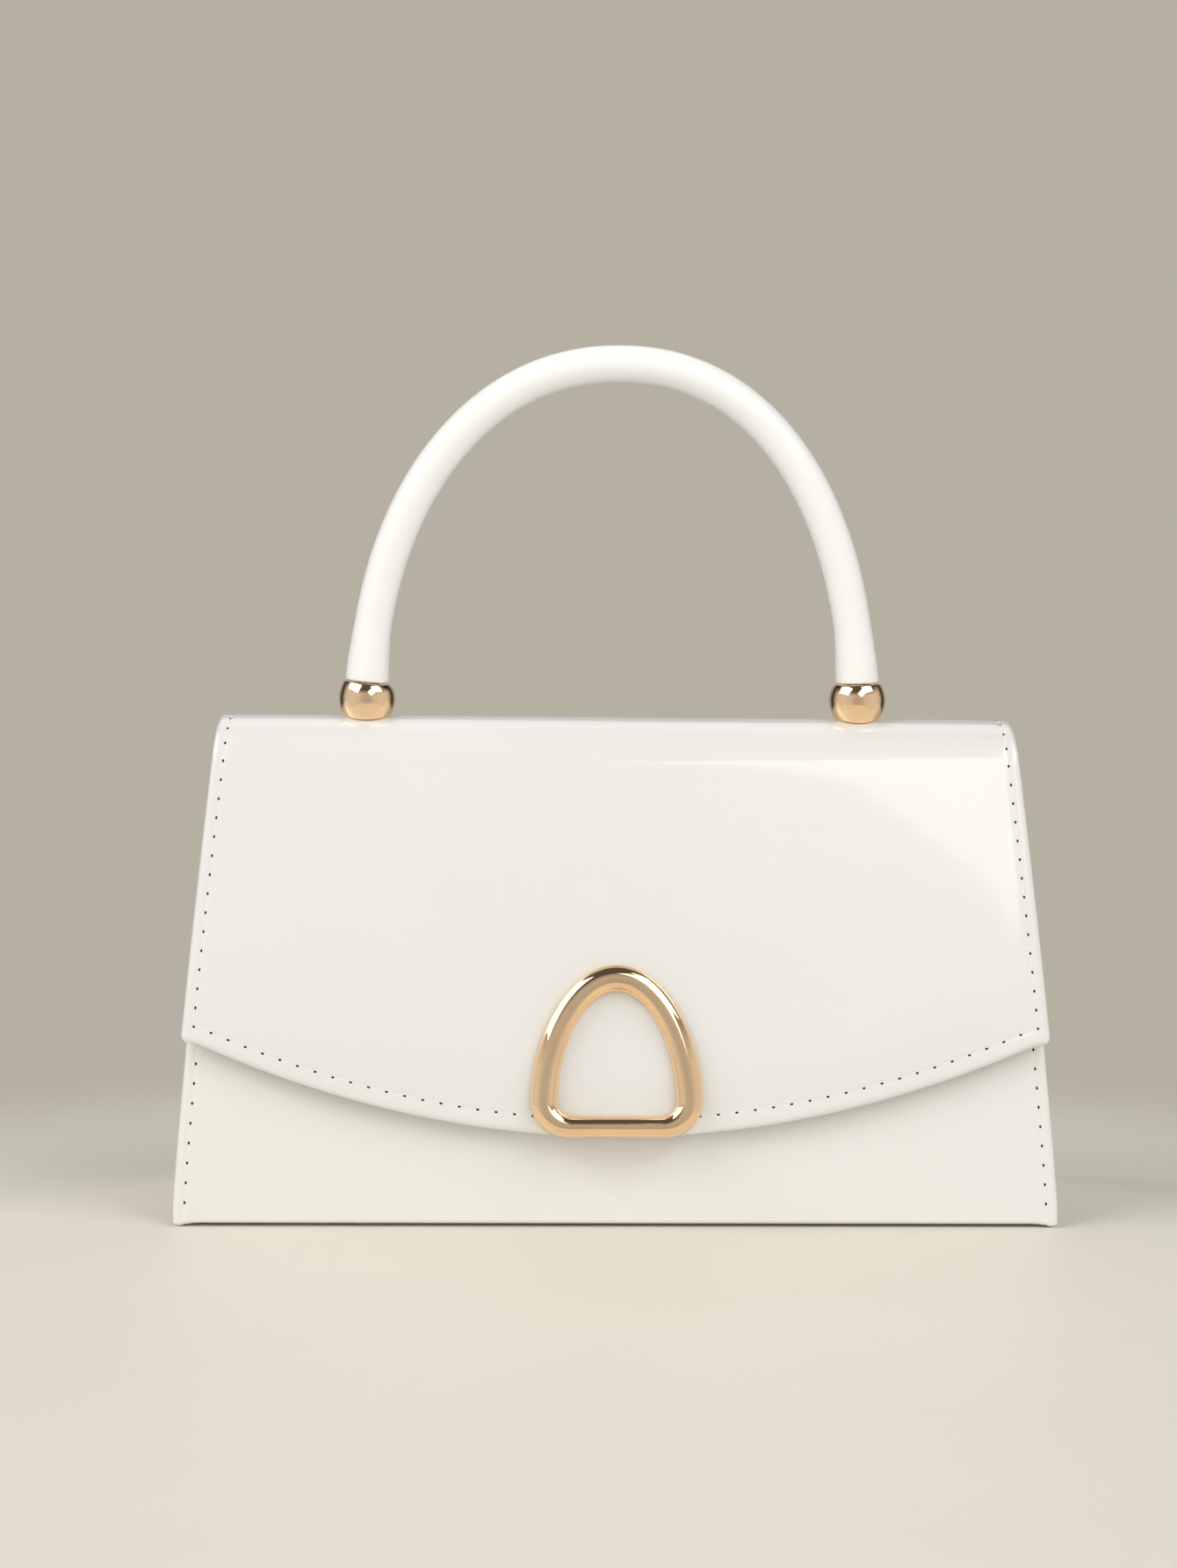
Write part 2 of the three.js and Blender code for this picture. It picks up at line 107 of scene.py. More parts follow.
# Stitching
SIDE_INSET = 0.00285
LOWER_INSET = 0.004
SIDE_PITCH = 0.0045
LOWER_PITCH = 0.00435
LEFT_FRONT_PITCH = 0.00464
RIGHT_FRONT_PITCH = 0.00453
FRONT_STITCH_BOTTOM = 0.0052
GROOVE_DEPTH = 0.00012
GROOVE_WIDTH = 0.00055
THREAD_RADIUS = 0.0002
# Shares of its radius by which the thread lies sunk, and dips further at the holes
THREAD_SUNK = 0.55
THREAD_DIP = 0.75
HOLE_LENGTH = 0.00042
HOLE_WIDTH = 0.0003
HOLE_HEIGHT = 0.00008

# Handle
HANDLE_HALF_SPAN = 0.0596
HANDLE_RISE = 0.0851
HANDLE_CENTRE_Z = 0.1191
HANDLE_POWER = 2.146
HANDLE_SHIFT = -0.0008
HANDLE_SKEW = 0.0015
HANDLE_RADIUS = 0.0045
HANDLE_END_RADIUS = 0.0052
HANDLE_FLARE_LENGTH = 0.0155
LEFT_END_TILT = math.radians(5.3)
RIGHT_END_TILT = math.radians(1.5)
HANDLE_END_ROUND = 0.00035
HANDLE_GLOSS = 0.35
SOCKET_RADIUS = 0.0022
SOCKET_DEPTH = 0.008

# Balls
BALL_RADIUS = 0.0069
BALL_CENTRE_Z = 0.1233
BALL_ABOVE = 0.0038
BALL_EDGE = 0.00025
BALL_DISH = 0.0007
BALL_SINK = 0.6
HANDLE_GAP = 0.0004

# Ornament
LOOP_HALF_WIDTH = 0.0206
LOOP_HEIGHT = 0.041
LOOP_CORNER = 0.009
LOOP_TAPER = 0.06
LOOP_BAND = 0.0066
LOOP_FOOT = 0.0052
LOOP_THICKNESS = 0.0034
LOOP_PILLOW = 2.7
LOOP_SEAT = 0.0001

# Points of the sheets: lines across a seam in groove widths, lines past a seam or a roll, spacings and counts
ROLL_STEPS = 6
ROLL_CLEAR = 1.15
SEAM_LINES = (-2.2, -1.4, -0.7, 0, 0.7, 1.4, 2.2)
PAST_SEAM = (0.0022, 0.004, 0.0065, 0.010, 0.0145)
BACK_SPACING = 0.006
FOLD_LINES = 41
FLAP_SPACING = 0.004
SHELL_COLUMN_SPACING = 0.005
PANEL_SPACING = 0.005
TURN_LINES = 13
BASE_SPACING = 0.006
FRONT_COLUMN_SPACING = 0.006
GUSSET_ROLL_STEPS = 5
PAST_GUSSET_ROLL = (0.0012, 0.003)
GUSSET_SPACING = 0.003
GUSSET_COLUMNS = 58
PLEAT_STEPS = 7

# Points of the handle, the balls, the ornament and the stitching
HANDLE_SIDES = 40
HANDLE_RINGS = 175
HANDLE_END_RINGS = 6
HANDLE_END_SHARE = 0.004
BALL_SIDES = 72
BALL_RINGS = 34
LOOP_CORNER_POINTS = 12
LOOP_ARCH_POINTS = 97
LOOP_FOOT_POINTS = 24
LOOP_SECTION_POINTS = 25
SEAM_POINTS = 2001
SEAM_STEP = 0.00001
HOLE_LEVELS = np.radians((-60, -20, 20, 60))
HOLE_SIDES = 10
THREAD_RINGS = 7
THREAD_SIDES = 6

# Rounds in which the flap's edge and its seam's corner settle
EDGE_ROUNDS = 3
CORNER_ROUNDS = 20

# Materials of a piece by their place in its list
THREAD_KIND = 0
HOLE_SHADE_KIND = 1
END_SHADE_KIND = 1

# Camera, fitted to the outline of the bag in a picture of 1340 by 1785 pixels
PICTURE_HEIGHT = 1785
FOCAL_PIXELS = 4400
SENSOR_HEIGHT = 36
CAMERA_PLACE = (-0.00646, -0.93724, 0.18245)
CAMERA_TURN = math.radians(-0.908)
CAMERA_PITCH = math.radians(4.873)
CAMERA_ROLL = math.radians(0.263)

# Levels of a noise between which a tone or a roughness runs from its low to its high end
NOISE_LOW = 0.3
NOISE_HIGH = 0.7

# Colours, linear
IVORY = (0.797, 0.788, 0.755)
IVORY_WARM = (0.787, 0.771, 0.73)
# Painted light: the front panel's leather is a paler, warmer copy of the ivory, standing in for the warm
# light bounced up from the floor and lifting the shade under the flap
FRONT_LIT_IVORY = (0.815, 0.798, 0.748)
FRONT_LIT_IVORY_WARM = (0.805, 0.784, 0.725)
# Painted light: the handle's leather is a paler copy of the ivory, standing in for the brighter light and the
# reflections the handle catches
HANDLE_LIT_IVORY = (0.9, 0.896, 0.86)
HANDLE_LIT_IVORY_WARM = (0.894, 0.885, 0.84)
LINING_BEIGE = (0.52, 0.45, 0.35)
LINING_DARK = (0.40, 0.34, 0.26)
ROSE_GOLD = (0.97, 0.70, 0.44)
ROSE_GOLD_DEEP = (0.94, 0.66, 0.40)
THREAD_WHITE = (0.90, 0.88, 0.83)
THREAD_SHADE = (0.82, 0.80, 0.74)
# Painted shade for the needle holes and the gaps at the handle's cut ends
PAINTED_SHADE_BROWN = (0.035, 0.026, 0.018)
PAINTED_SHADE_BLACK = (0.015, 0.012, 0.010)
STEEL = (0.55, 0.55, 0.54)
STEEL_DARK = (0.42, 0.42, 0.41)
FLOOR_CREAM = (0.835, 0.797, 0.7)
FLOOR_SHADE = (0.815, 0.772, 0.67)
WALL_GREY = (0.467, 0.434, 0.366)
ROOM_LIGHT = (1.0, 0.995, 0.98)

# Floor and light
FLOOR_PLACE = (0, -0.12, 0)
FLOOR_CLEAR = 0.22
FLOOR_END = 0.34
# How far forward a direction points, from 0 straight behind to 1 straight in front, and the brightness there
ROOM_BANDS = (
    (0, 0.42), (0.1, 0.36), (0.17, 0.06), (0.28, 0.08), (0.4, 0.5),
    (0.5, 0.68), (0.75, 0.72), (0.93, 0.64), (0.985, 0.5), (1, 0.45),
)
# How far up a direction points, from 0 level to 1 straight up, and the share of the brightness there
ROOM_TIERS = ((0, 1), (0.35, 1), (0.6, 0.14))
# Name, bearing right of the front, elevation, roll, distance, width, height and brightness of each soft box,
# and whether polished surfaces mirror it
SOFT_BOXES = (
    ("window_right", 23.0, 34.9, -52, 1.3, 0.46, 0.72, 2.35, True),
    ("key_right", 55, 46, 0, 1.3, 0.8, 0.66, 3.15, True),
    ("window_left", -66, 42, 0, 1.3, 1.15, 0.72, 3.6, True),
    ("behind", 180, 60, 0, 1.4, 1.3, 0.8, 0.9, True),
    ("low_fill", 0, 7, 0, 2.6, 3.4, 0.5, 2.05, False),
)
LIT_POINT = (0, 0, 0.08)


# Lean from the upright of a face that starts at the base and touches a circle about the fold's axis
def lean_angle(reach, radius):
    return math.atan2(reach, FOLD_Z) - math.asin(radius / math.hypot(reach, FOLD_Z))


BACK_LEAN = lean_angle(BASE_DEPTH / 2 - FOLD_Y, FOLD_RADIUS)
FRONT_LEAN = lean_angle(BASE_DEPTH / 2 + FOLD_Y, FOLD_RADIUS - FLAP_GAP - SHELL_THICKNESS)
BACK_LENGTH = math.sqrt((BASE_DEPTH / 2 - FOLD_Y) ** 2 + FOLD_Z**2 - FOLD_RADIUS**2)
FOLD_LENGTH = FOLD_RADIUS * (math.pi - BACK_LEAN - FRONT_LEAN)
APEX_LENGTH = BACK_LENGTH + FOLD_RADIUS * (math.pi / 2 - BACK_LEAN)
FLAP_START = BACK_LENGTH + FOLD_LENGTH
SHELL_LENGTH = FLAP_START + FLAP_DROP
PANEL_LENGTH = (FRONT_TOP - BASE_FOLD * (1 + math.sin(FRONT_LEAN))) / math.cos(FRONT_LEAN)
TURN_LENGTH = BASE_FOLD * (math.pi / 2 + FRONT_LEAN)
TURN_Y = -BASE_DEPTH / 2 + BASE_FOLD * (1 + math.sin(FRONT_LEAN)) / math.cos(FRONT_LEAN)


def back_inner_y(z):
    return BASE_DEPTH / 2 - z * math.tan(BACK_LEAN) - SHELL_THICKNESS / math.cos(BACK_LEAN)


def front_inner_y(z):
    return -BASE_DEPTH / 2 + z * math.tan(FRONT_LEAN) + FRONT_THICKNESS / math.cos(FRONT_LEAN)


BASE_LENGTH = back_inner_y(FRONT_THICKNESS) - SEAT_GAP - TURN_Y
FRONT_LENGTH = PANEL_LENGTH + TURN_LENGTH + BASE_LENGTH
GUSSET_BOTTOM = FRONT_THICKNESS + SEAT_GAP


def smooth_step(value):
    t = np.clip(value, 0, 1)
    return t * t * (3 - 2 * t)


def unit(vectors):
    return vectors / np.linalg.norm(vectors, axis=-1, keepdims=True)


def half_width(length):
    return BASE_HALF_WIDTH - SIDE_TAPER * (np.hypot(length, SIDE_EASE) - SIDE_EASE)


def shell_half_width(length):
    up = np.where(length < APEX_LENGTH, length, 2 * APEX_LENGTH - length)
    down = np.maximum(length - FLAP_START, 0) / FLAP_DROP
    return half_width(up) + FLAP_FLARE * down * (2 - down)


# Side view of the shell's outer face by length from the foot of the back: y, z and the outward normal
def shell_line(length):
    turn = BACK_LEAN + np.clip(length - BACK_LENGTH, 0, FOLD_LENGTH) / FOLD_RADIUS
    up = np.minimum(length, BACK_LENGTH)
    down = np.maximum(length - FLAP_START, 0)
    ny = np.cos(turn)
    nz = np.sin(turn)
    y = BASE_DEPTH / 2 - up * math.sin(BACK_LEAN) + FOLD_RADIUS * (ny - math.cos(BACK_LEAN))
    z = up * math.cos(BACK_LEAN) + FOLD_RADIUS * (nz - math.sin(BACK_LEAN))
    return y - down * math.sin(FRONT_LEAN), z - down * math.cos(FRONT_LEAN), ny, nz


# Share of the flap's bulge below the fold: it starts inside the fold and levels out further down
def fold_rise(below):
    lead = np.clip(1 + below / PAD_LEAD, 0, 1) ** 3 * PAD_LEAD / 3
    run = np.clip(below, 0, PAD_REACH)
    return (lead + run - run**2 / (2 * PAD_REACH)) / (PAD_LEAD / 3 + PAD_REACH / 2)


# Rise of the flap's lower edge over its lowest reach, levelling out at the corners
def edge_rise(x):
    near_corner = np.maximum(np.abs(x) - DIP_START, 0)
    return EDGE_MIDDLE + FLAP_CURVE * x**2 - CORNER_DIP * near_corner**2


# Gentle bulge of the flap, steepest at its sides and under the fold
def pad_height(x, length):
    from_side = shell_half_width(length) - np.abs(x)
    from_edge = SHELL_LENGTH - edge_rise(x) - length
    across = 1 - (1 - np.clip(from_side / PAD_REACH, 0, 1)) ** 2
    return PAD_HEIGHT * across * fold_rise(length - FLAP_START) * smooth_step(from_edge / PAD_FOOT)


# Swells over a sheet, multiplied together
def swelling(x, length, swells):
    product = 1
    for across, along, start in swells:
        product = product * np.sin(across * x + along * length + start)
    return product


# Slight unevenness of a stretched leather panel
def wave(x, length):
    return WAVE_HEIGHT * (swelling(x, length, SLOW_SWELLS) + QUICK_SHARE * swelling(x, length, QUICK_SWELLS))


def groove(distance, inset):
    return GROOVE_DEPTH * np.exp(-(((distance - inset) / GROOVE_WIDTH) ** 2))


# Distances from an edge of the lines of points over its roll
def roll_offsets(roll, steps):
    return roll * (1 - np.cos(np.linspace(0, math.pi / 2, steps + 1)))


# Distances from an edge at which a sheet has a line of points: close over the rolled edge and the seam
def edge_offsets(roll, inset):
    seam = inset + GROOVE_WIDTH * np.array(SEAM_LINES)
    offsets = np.concatenate([roll_offsets(roll, ROLL_STEPS), seam, inset + np.array(PAST_SEAM)])
    return offsets[(offsets <= roll) | (offsets > roll * ROLL_CLEAR)]


def spaced(start, end, spacing):
    count = max(2, math.ceil((end - start) / spacing) + 1)
    return np.linspace(start, end, count)[1:-1]


# Pulls the corner of a grid in to an arc. Takes the distances from two edges, and gives them back moved,
# with the distance from the rounded edge.
def round_corner(a, b, radius):
    p = np.clip(1 - a / radius, 0, 1)
    q = np.clip(1 - b / radius, 0, 1)
    moved_p = p * np.sqrt(1 - q**2 / 2)
    moved_q = q * np.sqrt(1 - p**2 / 2)
    in_corner = (p > 0) & (q > 0)
    moved_a = a + radius * (p - moved_p)
    moved_b = b + radius * (q - moved_q)
    near = np.where(in_corner, radius * (1 - np.hypot(moved_p, moved_q)), np.minimum(a, b))
    return moved_a, moved_b, near


# Columns across a sheet: which way and how far in from the side edge each one lies
def sheet_columns(offsets, width, spacing):
    middle = spaced(offsets[-1] - width, width - offsets[-1], spacing) / (width - offsets[-1])
    ways = np.concatenate([-np.ones(len(offsets)), middle, np.ones(len(offsets))])
    insets = np.concatenate([offsets, np.full(len(middle), offsets[-1]), offsets[::-1]])
    return ways, insets


# Share of the half thickness left at a distance from a rolled edge
def rolled_share(distance, roll):
    return np.sqrt(1 - (1 - np.clip(distance / roll, 0, 1)) ** 2)


def quads(index):
    corners = [index[:-1, :-1], index[:-1, 1:], index[1:, 1:], index[1:, :-1]]
    return np.stack([c.ravel() for c in corners], axis=1)


def mesh_object(name, vertices, faces, materials, face_materials=None):
    mesh = bpy.data.meshes.new(name)
    mesh.from_pydata(np.asarray(vertices).tolist(), [], [list(map(int, f)) for f in faces])
    for material in materials:
        mesh.materials.append(material)
    if face_materials is not None:
        mesh.polygons.foreach_set("material_index", np.asarray(face_materials, dtype=np.int32))
    skin = bmesh.new()
    skin.from_mesh(mesh)
    bmesh.ops.recalc_face_normals(skin, faces=skin.faces)
    skin.to_mesh(mesh)
    skin.free()
    mesh.shade_smooth()
    piece = bpy.data.objects.new(name, mesh)
    bpy.context.scene.collection.objects.link(piece)
    return piece


def seat_piece(piece, slot, *nodes):
    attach(piece, "root")
    if nodes:
        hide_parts(*nodes)
    return piece


# Closed skin from an outer and an inner grid of points that meet along their border.
# The inner face is lining except for the leather turned in round its border.
def sheet_object(name, outer, inner, distance, leather, lining):
    rows, columns = distance.shape
    outer_index = np.arange(rows * columns).reshape(rows, columns)
    inner_index = outer_index.copy()
    inner_index[1:-1, 1:-1] = rows * columns + np.arange((rows - 2) * (columns - 2)).reshape(rows - 2, -1)
    vertices = np.concatenate([outer.reshape(-1, 3), inner[1:-1, 1:-1].reshape(-1, 3)])
    outer_faces = quads(outer_index)
    inner_faces = quads(inner_index)[:, ::-1]
    faces = np.concatenate([outer_faces, inner_faces])
    lined = (distance[:-1, :-1] > LINING_MARGIN).ravel()
    face_materials = np.concatenate([np.zeros(len(outer_faces)), lined])
    return mesh_object(name, vertices, faces, [leather, lining], face_materials)


# Node helpers
def new_material(name):
    material = bpy.data.materials.new(name)
    material.use_nodes = True
    tree = material.node_tree
    return material, tree, tree.nodes["Principled BSDF"]


def noise(tree, scale, detail=2.0):
    coordinates = tree.nodes.new("ShaderNodeTexCoord")
    texture = tree.nodes.new("ShaderNodeTexNoise")
    texture.inputs["Scale"].default_value = scale
    texture.inputs["Detail"].default_value = detail
    tree.links.new(coordinates.outputs["Object"], texture.inputs["Vector"])
    return texture.outputs["Fac"]


def tone(tree, factor, low, high):
    ramp = tree.nodes.new("ShaderNodeValToRGB")
    ramp.color_ramp.elements[0].position = NOISE_LOW
    ramp.color_ramp.elements[1].position = NOISE_HIGH
    ramp.color_ramp.elements[0].color = (*low, 1)
    ramp.color_ramp.elements[1].color = (*high, 1)
    tree.links.new(factor, ramp.inputs["Fac"])
    return ramp.outputs["Color"]


def ranged(tree, factor, low, high):
    mapped = tree.nodes.new("ShaderNodeMapRange")
    mapped.inputs["From Min"].default_value = NOISE_LOW
    mapped.inputs["From Max"].default_value = NOISE_HIGH
    mapped.inputs["To Min"].default_value = low
    mapped.inputs["To Max"].default_value = high
    tree.links.new(factor, mapped.inputs["Value"])
    return mapped.outputs["Result"]


def bump(tree, height, distance):
    node = tree.nodes.new("ShaderNodeBump")
    node.inputs["Strength"].default_value = 1.0
    node.inputs["Distance"].default_value = distance
    tree.links.new(height, node.inputs["Height"])
    return node.outputs["Normal"]


# Smooth ivory leather under a clear coat of some gloss, with faint tone changes and a trace of grain
def patent_leather(name, warm, pale, gloss):
    material, tree, shader = new_material(name)
    tree.links.new(tone(tree, noise(tree, 14), warm, pale), shader.inputs["Base Color"])
    tree.links.new(ranged(tree, noise(tree, 60), 0.28, 0.36), shader.inputs["Roughness"])
    tree.links.new(bump(tree, noise(tree, 1400, 3), GRAIN), shader.inputs["Normal"])
    tree.links.new(bump(tree, noise(tree, 320), GRAIN * 0.8), shader.inputs["Coat Normal"])
    shader.inputs["Specular IOR Level"].default_value = gloss / 2
    shader.inputs["Coat Weight"].default_value = gloss
    shader.inputs["Coat Roughness"].default_value = 0.065
    shader.inputs["Coat IOR"].default_value = 1.5
    return material


# Matt microfibre on the inside
def lining_cloth():
    material, tree, shader = new_material("lining_cloth")
    tree.links.new(tone(tree, noise(tree, 900, 4), LINING_DARK, LINING_BEIGE), shader.inputs["Base Color"])
    tree.links.new(bump(tree, noise(tree, 2600, 3), 0.00015), shader.inputs["Normal"])
    shader.inputs["Roughness"].default_value = 0.9
    shader.inputs["Sheen Weight"].default_value = 0.25
    return material


# Polished plating with very faint clouding
def rose_gold():
    material, tree, shader = new_material("rose_gold")
    tree.links.new(tone(tree, noise(tree, 90), ROSE_GOLD_DEEP, ROSE_GOLD), shader.inputs["Base Color"])
    tree.links.new(ranged(tree, noise(tree, 700, 4), 0.035, 0.07), shader.inputs["Roughness"])
    tree.links.new(bump(tree, noise(tree, 260), 0.000012), shader.inputs["Normal"])
    shader.inputs["Metallic"].default_value = 1.0
    return material


# Twisted thread
def thread():
    material, tree, shader = new_material("thread")
    tree.links.new(tone(tree, noise(tree, 3500), THREAD_SHADE, THREAD_WHITE), shader.inputs["Base Color"])
    tree.links.new(bump(tree, noise(tree, 6000), 0.00005), shader.inputs["Normal"])
    shader.inputs["Roughness"].default_value = 0.7
    return material


# Painted shade: near-black brown standing in for the shade inside needle holes and in the gaps at the
# handle's cut ends
def painted_dark_shade():
    material, tree, shader = new_material("painted_dark_shade")
    tree.links.new(tone(tree, noise(tree, 4000), PAINTED_SHADE_BLACK, PAINTED_SHADE_BROWN), shader.inputs["Base Color"])
    shader.inputs["Roughness"].default_value = 0.9
    shader.inputs["Specular IOR Level"].default_value = 0.1
    return material


# Turned steel of the hidden fixings
def turned_steel():
    material, tree, shader = new_material("turned_steel")
    tree.links.new(tone(tree, noise(tree, 500, 4), STEEL_DARK, STEEL), shader.inputs["Base Color"])
    tree.links.new(ranged(tree, noise(tree, 1200), 0.28, 0.4), shader.inputs["Roughness"])
    shader.inputs["Metallic"].default_value = 1.0
    return material


# Back, rounded top and flap in one sheet
def shell_sheet(leather, lining):
    side = edge_offsets(EDGE_ROLL, SIDE_INSET)
    lower = edge_offsets(EDGE_ROLL, LOWER_INSET)
    stations = np.concatenate([
        SHELL_START + side,
        spaced(SHELL_START + side[-1], BACK_LENGTH, BACK_SPACING),
        np.linspace(BACK_LENGTH, FLAP_START, FOLD_LINES),
        spaced(FLAP_START, SHELL_LENGTH - lower[-1], FLAP_SPACING),
        SHELL_LENGTH - lower[::-1],
    ])
    ways, insets = sheet_columns(side, half_width(0), SHELL_COLUMN_SPACING)
    from_side, from_lower = np.meshgrid(insets, SHELL_LENGTH - stations)
    from_side, from_lower, near_lower = round_corner(from_side, from_lower, SHEET_CORNER)
    from_start = SHELL_LENGTH - SHELL_START - from_lower
    from_side, from_start, near_start = round_corner(from_side, from_start, SHEET_CORNER)
    length = SHELL_START + from_start
    follow = np.clip((length - FLAP_START) / (FLAP_DROP - lower[-1]), 0, 1)
    x = ways * shell_half_width(length)
    for _ in range(EDGE_ROUNDS):
        drawn = length - follow * edge_rise(x)
        x = ways * (shell_half_width(drawn) - from_side)
    near = np.minimum(near_lower, near_start)
    seam = groove(from_side, SIDE_INSET) * (from_lower > LOWER_INSET)
    seam = np.maximum(seam, groove(from_lower, LOWER_INSET) * (from_side > SIDE_INSET))
    share = rolled_share(near, EDGE_ROLL)
    relief = shell_relief(x, drawn, share) - seam
    outer = on_shell(x, drawn, SHELL_THICKNESS / 2 * (share - 1) + relief)
    inner = on_shell(x, drawn, pad_height(x, drawn) - SHELL_THICKNESS / 2 * (share + 1))
    return sheet_object("back_and_flap_leather", outer, inner, near, leather, lining)


# Height of the shell's outer face over its plain form
def shell_relief(x, length, share=1.0):
    return pad_height(x, length) + wave(x, length) * share


# Rise of the rounded top over its plain height, a little more at the left
def ridge_lift(x):
    return RIDGE_LIFT + RIDGE_TILT * x


# Point over the shell's plain form, drawn up towards the top
def on_shell(x, length, lift):
    y, z, ny, nz = shell_line(length)
    drawn_up = ridge_lift(x) * (z / BODY_HEIGHT) ** 3
    return np.stack(np.broadcast_arrays(x, y + lift * ny, z + lift * nz + drawn_up), axis=-1)


# Side view of the front panel and base by length from the panel's top edge: y, z and the outward normal
def front_line(length):
    turn = np.clip(length - PANEL_LENGTH, 0, TURN_LENGTH) / TURN_LENGTH
    angle = math.pi - FRONT_LEAN + (math.pi / 2 + FRONT_LEAN) * turn
    ny = np.cos(angle)
    nz = np.sin(angle)
    above = np.maximum(PANEL_LENGTH - length, 0)
    beyond = np.maximum(length - PANEL_LENGTH - TURN_LENGTH, 0)
    y = TURN_Y + BASE_FOLD * ny + above * math.sin(FRONT_LEAN) + beyond
    z = BASE_FOLD * (1 + nz) + above * math.cos(FRONT_LEAN)
    return y, z, ny, nz


# Half width of the front panel and base
def front_half_width(length):
    return half_width(front_line(length)[1] / math.cos(FRONT_LEAN))


# How far the sides are drawn in at the rounded base corners
def corner_inset(length):
    beyond = np.maximum(length - PANEL_LENGTH - TURN_LENGTH, 0)
    below = 1 - np.clip(front_line(length)[1] / CORNER_ROUND, 0, 1)
    return CORNER_ROUND * (1 - np.sqrt(1 - below**2)) * (1 - smooth_step(beyond / LIFT_REACH))


# Height of the outer face of the front panel and base over its plain form
def front_relief(x, length, share=1.0):
    return wave(x + FRONT_SHIFT, length) * share * smooth_step((PANEL_LENGTH - length) / FRONT_SETTLE)


# How far the base's front edge stands off the floor, less behind it and at the corners
def edge_lift(x, length):
    behind = (length - PANEL_LENGTH - TURN_LENGTH) / LIFT_REACH
    from_corner = (BASE_HALF_WIDTH - np.abs(x)) / LIFT_REACH
    return BASE_LIFT * (1 - smooth_step(behind)) * smooth_step(from_corner)


# Thickness of the front sheet, pared down where it folds under
def front_thickness(length):
    before = (PANEL_LENGTH - length) / PARED_REACH
    behind = (length - PANEL_LENGTH - TURN_LENGTH) / PARED_REACH
    pared = (1 - smooth_step(before)) * (1 - smooth_step(behind))
    return FRONT_THICKNESS - (FRONT_THICKNESS - FOLD_THICKNESS) * pared


# Point over the plain form of the front panel and base
def on_front(x, length, lift):
    y, z, ny, nz = front_line(length)
    raised = edge_lift(x, length)
    y = y + lift * ny + raised * math.tan(FRONT_LEAN)
    z = z + lift * nz + raised
    return np.stack(np.broadcast_arrays(x, y, z), axis=-1)


# Front panel turned under at the bottom into the flat base
def front_sheet(leather, lining):
    side = edge_offsets(EDGE_ROLL, SIDE_INSET)
    bottom = PANEL_LENGTH + TURN_LENGTH
    stations = np.concatenate([
        side,
        spaced(side[-1], PANEL_LENGTH, PANEL_SPACING),
        np.linspace(PANEL_LENGTH, bottom, TURN_LINES),
        spaced(bottom, FRONT_LENGTH - side[-1], BASE_SPACING),
        FRONT_LENGTH - side[::-1],
    ])
    ways, insets = sheet_columns(side, half_width(0), FRONT_COLUMN_SPACING)
    from_side, from_top = np.meshgrid(insets, stations)
    from_side, from_top, near_top = round_corner(from_side, from_top, SHEET_CORNER)
    from_back = FRONT_LENGTH - from_top
    from_side, from_back, near_back = round_corner(from_side, from_back, SHEET_CORNER)
    length = FRONT_LENGTH - from_back
    outside = np.clip(1 - from_side / SIDE_INSET, 0, 1)
    x = ways * (front_half_width(length) - from_side - corner_inset(length) * outside)
    near = np.minimum(near_top, near_back)
    share = rolled_share(near, EDGE_ROLL)
    seam = groove(from_side, SIDE_INSET) * (1 - smooth_step((length - bottom) / PARED_REACH))
    relief = front_relief(x, length, share) - seam
    half = front_thickness(length) / 2
    outer = on_front(x, length, half * (share - 1) + relief)
    inner = on_front(x, length, -half * (share + 1))
    return sheet_object("front_and_base_leather", outer, inner, near, leather, lining)


# Line through points with its corners rounded off
def rounded_line(points, radius, steps):
    line = [points[0]]
    for before, here, after in zip(points, points[1:], points[2:]):
        start = here - radius * (here - before) / np.linalg.norm(here - before)
        end = here + radius * (after - here) / np.linalg.norm(after - here)
        for t in np.linspace(0, 1, steps):
            line.append((1 - t) ** 2 * start + 2 * t * (1 - t) * here + t**2 * end)
    return np.array(line + [points[-1]])


# Length run so far at each point of a line
def run_along(line):
    return np.concatenate([[0], np.cumsum(np.linalg.norm(np.diff(line, axis=0), axis=1))])


# Middle of a gusset's sheet at a height: flanges against front and back, folded inward between them
def gusset_line(side, z):
    share = (z - GUSSET_BOTTOM) / (GUSSET_TOP - GUSSET_BOTTOM)
    pleat = PLEAT_AT_BASE + (PLEAT_AT_TOP - PLEAT_AT_BASE) * smooth_step(share)
    seat = SEAT_GAP + GUSSET_THICKNESS / 2
    front = front_inner_y(z) + seat
    back = back_inner_y(z) - seat
    middle = (front + back) / 2
    edge = half_width(z) - FLANGE_INSET
    wall = edge - FLANGE_LENGTH
    points = [
        (edge, front),
        (wall, front),
        (wall - PLEAT_SHOULDER * pleat, (front + middle) / 2),
        (wall - pleat, middle),
        (wall - PLEAT_SHOULDER * pleat, (back + middle) / 2),
        (wall, back),
        (edge, back),
    ]
    return rounded_line(np.array([(side * x, y) for x, y in points]), PLEAT_ROUND, PLEAT_STEPS)


